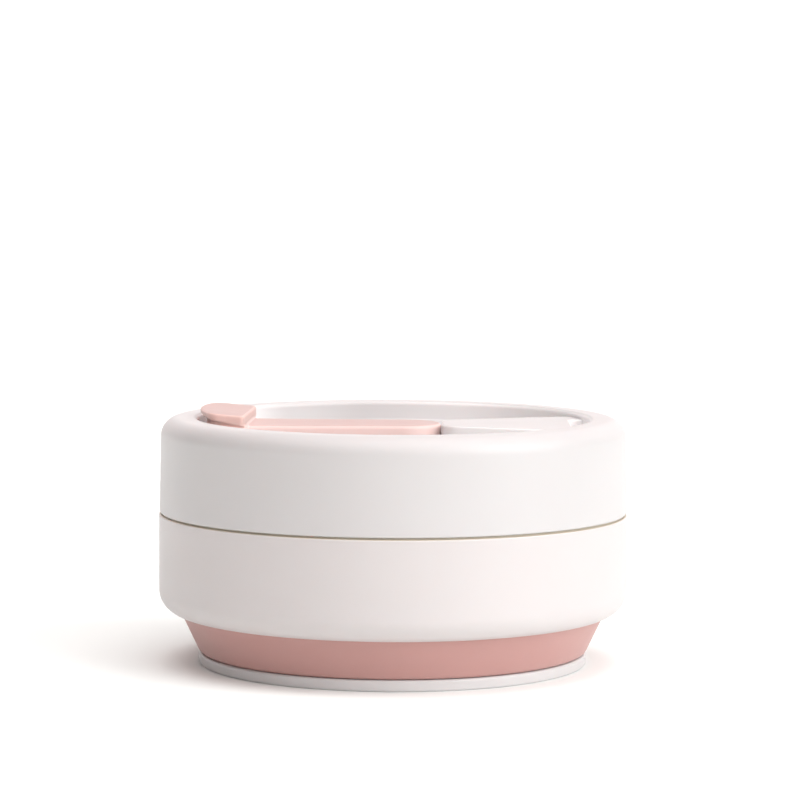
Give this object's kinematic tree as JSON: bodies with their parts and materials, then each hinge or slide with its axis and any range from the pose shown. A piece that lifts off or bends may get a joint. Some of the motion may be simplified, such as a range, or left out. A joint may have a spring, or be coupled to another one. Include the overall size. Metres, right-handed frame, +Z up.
{
  "type": "collapsible travel cup",
  "caption": "Collapsible silicone travel cup, stored flat: rigid push-on lid with a fold-back stopper, rigid heat-guard sleeve, folding tiers and a flat foot.",
  "frame": {"origin": "centre of the foot's underside, on the surface that the cup stands on", "axes": "+Z up along the cup's axis; the stopper's tab and the sip hole are towards -X; the stopper folds over towards +X"},
  "size_m": [0.096, 0.096, 0.0523],
  "materials": {
    "lid_white": "satin moulded polypropylene",
    "sleeve_white": "satin moulded polypropylene",
    "foot_white": "satin, slightly translucent",
    "silicone_pink": "matte moulded silicone",
    "stopper_pink": "matte moulded silicone"
  },
  "bodies": {
    "base": {"foot_disc": "foot_white", "lower_tier": "silicone_pink"},
    "middle": {"middle_tier": "silicone_pink", "lower_fold": "silicone_pink"},
    "upper": {"upper_tier": "silicone_pink", "upper_fold": "silicone_pink"},
    "sleeve": {"sleeve": "sleeve_white"},
    "lid": {"lid": "lid_white", "stopper_anchor": "stopper_pink"},
    "stopper": {"stopper_flap": "stopper_pink"}
  },
  "joints": [
    {"name": "middle_rise", "type": "slide", "parent": "base", "child": "middle", "axis": [0, 0, 1], "range_m": [0, 0.041], "deforming": ["lower_fold"]},
    {"name": "upper_rise", "type": "slide", "parent": "middle", "child": "upper", "axis": [0, 0, 1], "range_m": [0, 0.0412], "deforming": ["upper_fold"]},
    {"name": "sleeve_slide", "type": "slide", "parent": "upper", "child": "sleeve", "axis": [0, 0, -1], "range_m": [0, 0.0104]},
    {"name": "lid_lift", "type": "slide", "parent": "upper", "child": "lid", "axis": [0, 0, 1], "range_m": [0, 0.03]},
    {"name": "stopper_fold", "type": "hinge", "parent": "lid", "child": "stopper", "pos_m": [0, 0, 0.04925], "axis": [0, 1, 0], "range_deg": [0, 172]}
  ]
}
